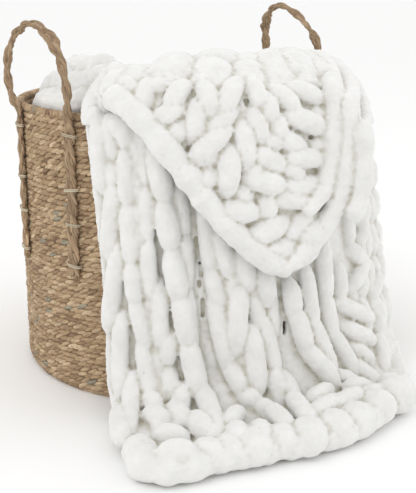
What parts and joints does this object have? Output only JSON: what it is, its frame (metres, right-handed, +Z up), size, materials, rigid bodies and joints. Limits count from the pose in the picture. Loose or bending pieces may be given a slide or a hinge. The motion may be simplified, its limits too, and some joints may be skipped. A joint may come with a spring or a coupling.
{
  "type": "knit blanket in woven basket",
  "caption": "Chunky knit throw, folded into a round woven basket with loop handles and draped over its front to the floor, with one corner turned down as a flap.",
  "frame": {"origin": "middle of the basket's base, on the surface it stands on", "axes": "+Z up; the basket's handles are on -X and +X; the blanket hangs over the front, -Y"},
  "size_m": [0.4631, 0.5457, 0.4431],
  "materials": {
    "basket_weave": "matte woven plant fibre",
    "braided_rope": "matte braided plant fibre",
    "chenille_knit": "soft matte chenille"
  },
  "bodies": {
    "root": {"basket": "basket_weave", "handle_left": "braided_rope", "handle_right": "braided_rope", "knit_blanket": "chenille_knit"}
  },
  "joints": []
}
